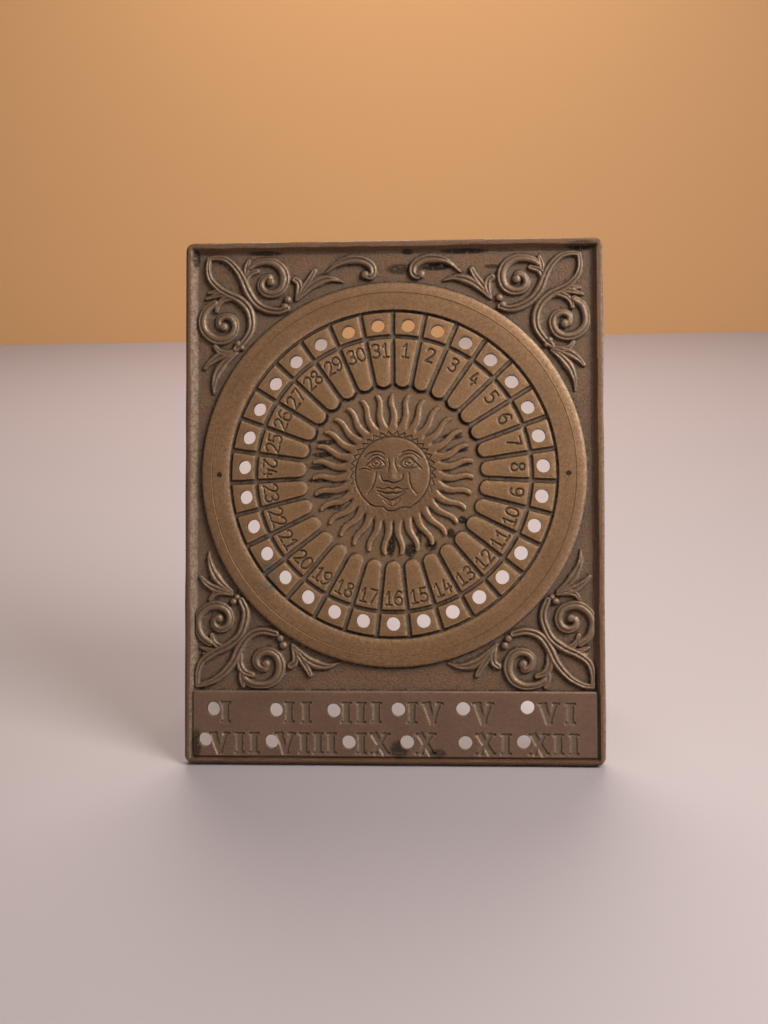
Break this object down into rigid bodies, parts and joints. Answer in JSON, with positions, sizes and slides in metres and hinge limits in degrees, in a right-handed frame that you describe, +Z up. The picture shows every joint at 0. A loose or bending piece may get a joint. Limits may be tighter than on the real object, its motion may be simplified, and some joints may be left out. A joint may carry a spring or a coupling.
{
  "type": "perpetual desk calendar",
  "caption": "Cast bronze perpetual calendar plaque: a dial of holed date cells round a sun, a month strip, loose marker pegs and a folding wire stand.",
  "frame": {"origin": "middle of the bounding box on the table, between the plate's bottom edge and the stand's foot bar", "axes": "+Z up, +X to the right of someone reading the dial, +Y away from the reader; the plate leans back 18 degrees"},
  "size_m": [0.1, 0.0514, 0.1193],
  "materials": {
    "cast_bronze": "cast, browned, with black left in the hollows",
    "dial_bronze": "cast and browned, rubbed on its raised pads",
    "ring_bronze": "turned and browned",
    "sun_bronze": "cast and browned",
    "strip_bronze": "smooth, browned",
    "scroll_bronze": "cast and browned, rubbed on its ridges",
    "bracket_brass": "filed, dulled",
    "rivet_brass": "hammered, dulled",
    "wire_brass": "drawn, dulled",
    "pin_steel": "blackened",
    "peg_brass": "turned",
    "sleeve_rubber": "matt"
  },
  "bodies": {
    "plate": {"base_plate": "cast_bronze", "dial_disc": "dial_bronze", "bezel_ring": "ring_bronze", "bezel_pin_left": "pin_steel", "bezel_pin_right": "pin_steel", "sun_medallion": "sun_bronze", "month_strip": "strip_bronze", "scroll_top_left": "scroll_bronze", "scroll_top_right": "scroll_bronze", "scroll_bottom_left": "scroll_bronze", "scroll_bottom_right": "scroll_bronze", "stand_bracket_left": "bracket_brass", "stand_bracket_right": "bracket_brass", "bracket_rivets": "rivet_brass", "peg_holder": "bracket_brass", "holder_rivets": "rivet_brass"},
    "stand": {"stand_bail": "wire_brass", "foot_sleeve_left": "sleeve_rubber", "foot_sleeve_right": "sleeve_rubber"},
    "date_peg": {"date_peg": "peg_brass"},
    "month_peg": {"month_peg": "peg_brass"}
  },
  "joints": [
    {"name": "stand_fold", "type": "hinge", "parent": "plate", "child": "stand", "pos_m": [0, 0.00532, 0.07462], "axis": [1, 0, 0], "range_deg": [-32.8, 0]},
    {"name": "date_peg_draw", "type": "slide", "parent": "plate", "child": "date_peg", "axis": [0, 0.309, 0.9511], "range_m": [0, 0.009]},
    {"name": "month_peg_draw", "type": "slide", "parent": "plate", "child": "month_peg", "axis": [0, 0.309, 0.9511], "range_m": [0, 0.009]}
  ]
}
